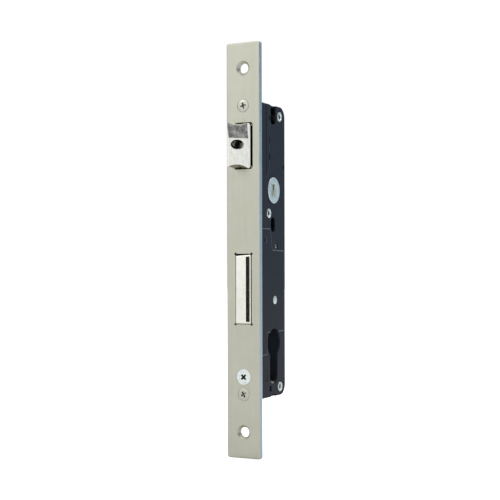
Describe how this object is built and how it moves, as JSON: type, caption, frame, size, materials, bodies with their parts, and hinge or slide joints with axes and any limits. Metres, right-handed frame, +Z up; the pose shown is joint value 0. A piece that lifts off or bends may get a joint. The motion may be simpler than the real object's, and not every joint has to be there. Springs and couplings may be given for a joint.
{
  "type": "mortise lock",
  "caption": "Narrow-stile mortise lock with a long brushed forend, a reversible bevelled latch, a tall deadbolt, a square-hole follower and a profile cylinder opening",
  "frame": {"origin": "centre of the forend's rear face, half way up its length, where it meets the door's edge", "axes": "+X to the cover side of the case, +Y into the door, +Z up"},
  "size_m": [0.022, 0.0503, 0.245],
  "materials": {
    "forend_steel": "brushed along its length",
    "case_paint": "satin dark blue-grey",
    "nickel": "bright nickel plate",
    "warm_nickel": "dull nickel plate",
    "zinc": "clear zinc plate",
    "die_cast": "as cast, zinc alloy",
    "dark_steel": "oiled",
    "spring_steel": "drawn wire"
  },
  "bodies": {
    "case": {"forend": "forend_steel", "case_body": "case_paint", "case_cover": "case_paint", "end_block_upper": "die_cast", "end_block_lower": "die_cast", "case_screw_upper": "warm_nickel", "case_screw_lower": "warm_nickel", "cylinder_screw": "zinc", "cylinder_nut_plate": "case_paint", "case_rivet_upper": "zinc", "case_rivet_lower": "zinc", "stop_post": "zinc", "bolt_guide_pin": "zinc", "spring_post": "zinc", "latch_guide": "zinc", "latch_spring": "spring_steel", "follower_spring": "spring_steel", "tumbler_spring": "spring_steel"},
    "latch": {"latch_head": "nickel", "latch_screw": "dark_steel", "latch_carriage": "die_cast", "latch_pull_plate": "zinc"},
    "handle_follower": {"follower": "zinc"},
    "change": {"change_slide": "zinc"},
    "deadbolt": {"deadbolt_head": "nickel", "deadbolt_tail": "zinc", "deadbolt_rivet_upper": "zinc", "deadbolt_rivet_lower": "zinc"},
    "tumbler_plate": {"tumbler": "zinc"}
  },
  "joints": [
    {"name": "latch_slide", "type": "slide", "parent": "case", "child": "latch", "axis": [0, 1, 0], "range_m": [0, 0.0093], "stiffness_N_per_m": 640, "springref_m": -0.0072, "deforming": ["latch_spring"]},
    {"name": "follower_turn", "type": "hinge", "parent": "case", "child": "handle_follower", "pos_m": [0, 0.022, 0.0364], "axis": [-1, 0, 0], "range_deg": [0, 35], "stiffness_Nm_per_rad": 0.0002, "springref_deg": -85.94, "deforming": ["follower_spring"]},
    {"name": "change_slide_lift", "type": "slide", "parent": "case", "child": "change", "axis": [0, 0, 1], "range_m": [0, 0.006]},
    {"name": "deadbolt_slide", "type": "slide", "parent": "case", "child": "deadbolt", "axis": [0, -1, 0], "range_m": [0, 0.014]},
    {"name": "tumbler_lift", "type": "slide", "parent": "case", "child": "tumbler_plate", "axis": [0, 0, 1], "range_m": [0, 0.003], "stiffness_N_per_m": 150, "springref_m": -0.004, "deforming": ["tumbler_spring"]}
  ],
  "couplings": [
    {"joint": "follower_turn", "follows": "latch_slide", "rad_per_m": 65.684},
    {"joint": "change_slide_lift", "follows": "latch_slide", "ratio": 0.624}
  ]
}
